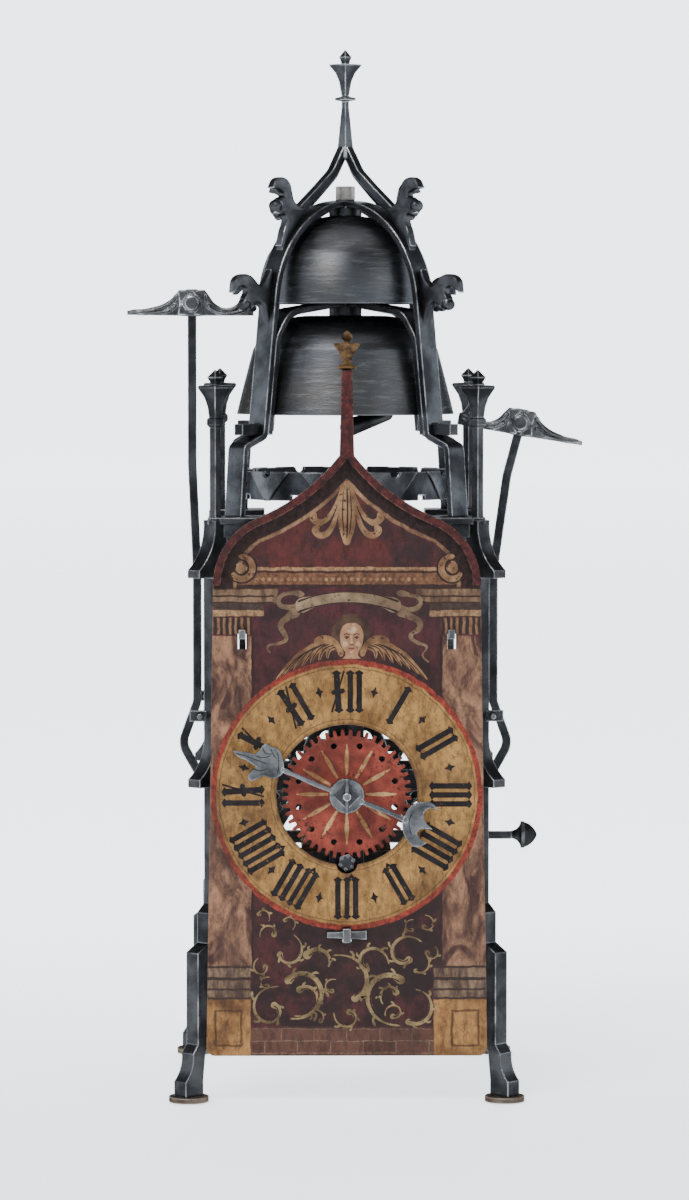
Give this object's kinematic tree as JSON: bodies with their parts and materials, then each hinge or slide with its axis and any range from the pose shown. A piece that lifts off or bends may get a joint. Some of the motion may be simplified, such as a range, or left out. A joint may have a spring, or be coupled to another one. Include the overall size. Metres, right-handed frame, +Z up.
{
  "type": "gothic iron clock",
  "caption": "Open iron frame clock with buttressed corner pillars, painted ogee dial plate and one hand, balance hoop, striking hammers and two bells in a crowned cage.",
  "frame": {"origin": "on the floor, under the middle of the four pillars", "axes": "+Z up, the dial faces -Y, +X to the viewer's right"},
  "size_m": [0.2127, 0.1645, 0.4835],
  "materials": {
    "black_iron": "forged, blackened, worn bright at the edges",
    "bright_iron": "filed and pitted",
    "foot_iron": "grey-brown, dull",
    "painted_iron": "aged oil paint",
    "gilt": "worn gilding",
    "red_paint": "worn red paint",
    "bell_metal": "dark hammered bell",
    "drum_wood": "dark oiled wood"
  },
  "bodies": {
    "frame": {"pillar_front_left": "black_iron", "pillar_front_right": "black_iron", "pillar_rear_left": "black_iron", "pillar_rear_right": "black_iron", "middle_bars": "black_iron", "middle_bar_keys": "bright_iron", "foot_discs": "foot_iron", "movement_bar_wedges": "bright_iron", "bottom_side_bars": "black_iron", "bottom_cross_bars": "black_iron", "top_side_bars": "black_iron", "top_cross_bars": "black_iron", "corner_plates": "black_iron", "front_movement_bar": "black_iron", "middle_movement_bar": "black_iron", "rear_movement_bar": "black_iron", "dial_plate": "painted_iron", "dial_finial": "gilt", "dial_hooks": "bright_iron", "dial_wedge_pin": "black_iron", "dial_staple": "black_iron", "crown_wheel_potence": "black_iron", "verge_cocks": "black_iron", "count_wheel_stud": "black_iron", "lever_stud": "black_iron", "hammer_bars": "black_iron", "cage_pins": "black_iron", "outer_arch_first": "black_iron", "outer_arch_second": "black_iron", "inner_arches": "black_iron", "ogee_crown": "black_iron", "crockets": "black_iron", "upper_bell": "bell_metal", "lower_bell": "bell_metal", "bell_studs": "black_iron", "bell_nuts": "foot_iron", "alarm_cocks": "black_iron"},
    "dial_work": {"dial_wheel": "red_paint", "dial_arbor": "bright_iron", "hand": "bright_iron", "hand_washer": "bright_iron", "hand_pin": "bright_iron"},
    "going_wheel": {"going_arbor": "black_iron", "going_great_wheel": "black_iron", "going_drum": "drum_wood"},
    "crown_wheel": {"crown_wheel": "black_iron"},
    "balance": {"verge": "black_iron", "balance_hoop": "black_iron"},
    "strike_wheel": {"strike_great_wheel": "black_iron", "strike_arbor": "black_iron", "strike_drum": "drum_wood"},
    "second_wheel": {"strike_second_wheel": "black_iron"},
    "fly": {"fly": "black_iron"},
    "count_wheel": {"count_wheel": "black_iron"},
    "left_hammer": {"left_hammer_arm": "black_iron", "left_hammer_head": "black_iron"},
    "right_hammer": {"right_hammer_arm": "black_iron", "right_hammer_head": "black_iron"},
    "release_lever": {"release_lever": "black_iron"},
    "alarm_hammer": {"alarm_hammer": "black_iron"}
  },
  "joints": [
    {"name": "going_turn", "type": "hinge", "parent": "frame", "child": "going_wheel", "pos_m": [0, 0, 0.1098], "axis": [0, 1, 0], "continuous": true},
    {"name": "crown_turn", "type": "hinge", "parent": "frame", "child": "crown_wheel", "pos_m": [0, 0, 0.153], "axis": [0, 1, 0], "continuous": true},
    {"name": "dial_turn", "type": "hinge", "parent": "frame", "child": "dial_work", "pos_m": [0, 0, 0.141], "axis": [0, 1, 0], "continuous": true},
    {"name": "strike_turn", "type": "hinge", "parent": "frame", "child": "strike_wheel", "pos_m": [0, 0, 0.1098], "axis": [0, 1, 0], "continuous": true},
    {"name": "second_turn", "type": "hinge", "parent": "frame", "child": "second_wheel", "pos_m": [0, 0, 0.153], "axis": [0, 1, 0], "continuous": true},
    {"name": "fly_turn", "type": "hinge", "parent": "frame", "child": "fly", "pos_m": [0, 0, 0.1845], "axis": [0, 1, 0], "continuous": true},
    {"name": "count_turn", "type": "hinge", "parent": "frame", "child": "count_wheel", "pos_m": [0, 0, 0.1614], "axis": [0, 1, 0], "continuous": true},
    {"name": "balance_swing", "type": "hinge", "parent": "frame", "child": "balance", "pos_m": [0, 0, 0.28], "axis": [0, 0, 1], "range_deg": [-35, 35]},
    {"name": "left_hammer_lift", "type": "hinge", "parent": "frame", "child": "left_hammer", "pos_m": [-0.054, 0, 0.14], "axis": [0, -1, 0], "range_deg": [-0.5, 10]},
    {"name": "right_hammer_lift", "type": "hinge", "parent": "frame", "child": "right_hammer", "pos_m": [0.054, 0, 0.14], "axis": [0, 1, 0], "range_deg": [-0.8, 10]},
    {"name": "release_lift", "type": "hinge", "parent": "frame", "child": "release_lever", "pos_m": [0.022, 0, 0.14], "axis": [0, -1, 0], "range_deg": [0, 6]},
    {"name": "alarm_swing", "type": "hinge", "parent": "frame", "child": "alarm_hammer", "pos_m": [0.002, 0.027, 0.29], "axis": [0, 0, 1], "range_deg": [-20, 20]}
  ],
  "couplings": [
    {"joint": "crown_turn", "follows": "going_turn", "ratio": -8},
    {"joint": "dial_turn", "follows": "going_turn", "ratio": -0.083333},
    {"joint": "second_turn", "follows": "strike_turn", "ratio": -8},
    {"joint": "fly_turn", "follows": "strike_turn", "ratio": 64},
    {"joint": "count_turn", "follows": "strike_turn", "ratio": -0.10256}
  ]
}
